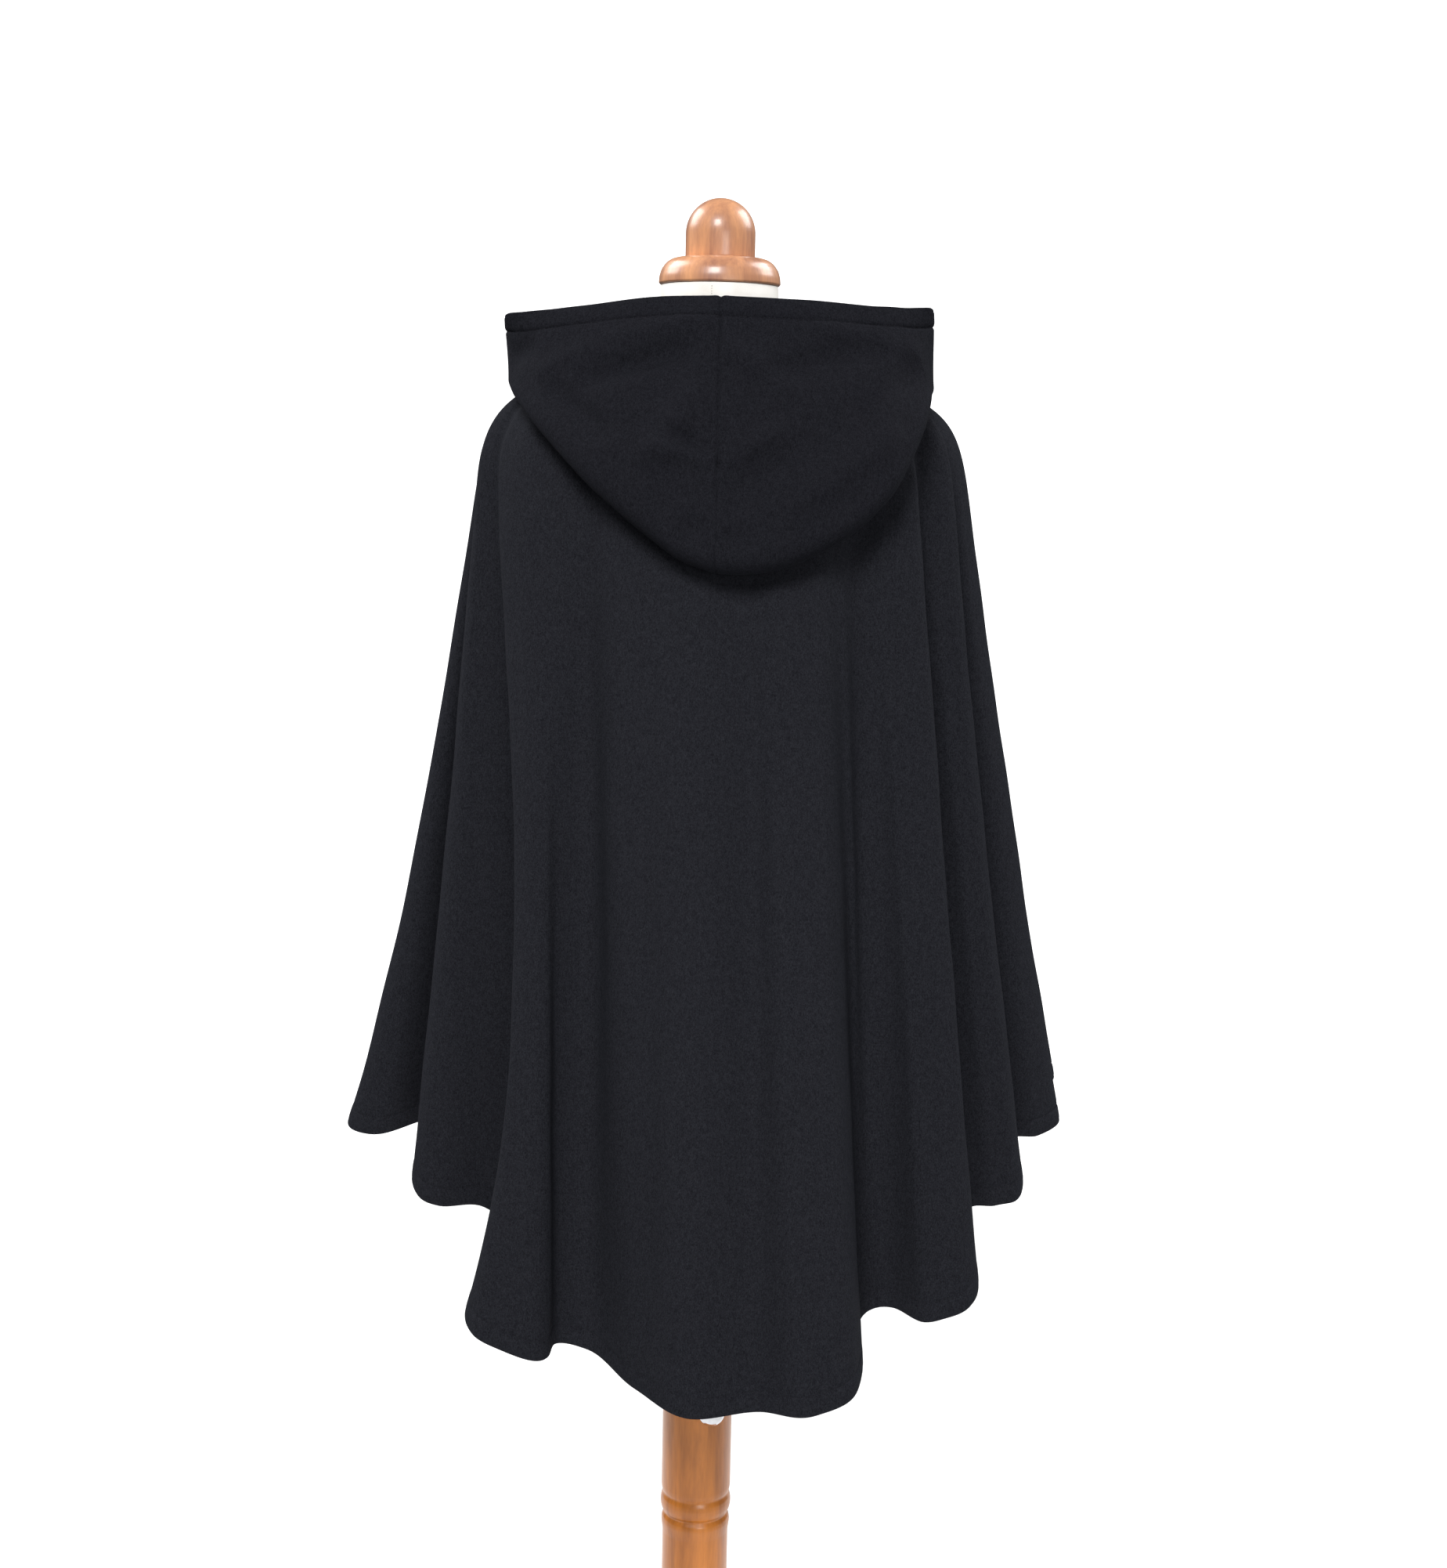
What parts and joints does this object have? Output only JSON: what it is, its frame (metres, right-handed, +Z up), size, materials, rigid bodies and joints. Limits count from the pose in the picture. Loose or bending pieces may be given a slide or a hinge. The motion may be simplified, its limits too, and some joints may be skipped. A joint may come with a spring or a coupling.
{
  "type": "hooded wool cloak on a limbless dress form with a turned wooden stand",
  "caption": "Dark hooded wool cloak with deep folds and a hem longer at the back, worn by a limbless dress form on a turned wooden stand that rises, turns and clamps.",
  "frame": {"origin": "on the floor at the centre of the stand's round base, on the mast's axis", "axes": "+X towards the wearer's right, +Y towards the wearer's front, +Z up; the pictured back faces -Y"},
  "size_m": [0.7074, 0.5338, 1.565],
  "materials": {
    "wool": "soft felted nap, matt",
    "horn": "low shine",
    "jersey": "matt cotton jersey over the form",
    "turned_wood": "stained and gloss varnished",
    "steel": "drawn tube, satin",
    "chrome": "polished"
  },
  "bodies": {
    "stand": {"stand_base": "turned_wood", "stand_column": "turned_wood"},
    "knob": {"clamp_knob": "chrome"},
    "mast": {"mast_tube": "steel"},
    "form": {"dress_form": "jersey", "neck_cap": "turned_wood", "neck_dome": "turned_wood", "cloak_back": "wool", "cloak_front_left": "wool", "cloak_front_right": "wool", "hood_left": "wool", "hood_right": "wool", "neck_button": "horn"}
  },
  "joints": [
    {"name": "height_slide", "type": "slide", "parent": "stand", "child": "mast", "axis": [0, 0, 1], "range_m": [-0.09, 0.1]},
    {"name": "form_swivel", "type": "hinge", "parent": "mast", "child": "form", "pos_m": [0, 0, 0.775], "axis": [0, 0, 1], "continuous": true},
    {"name": "clamp_turn", "type": "hinge", "parent": "stand", "child": "knob", "pos_m": [0, 0, 0.425], "axis": [0.2588, -0.9659, 0], "continuous": true}
  ]
}
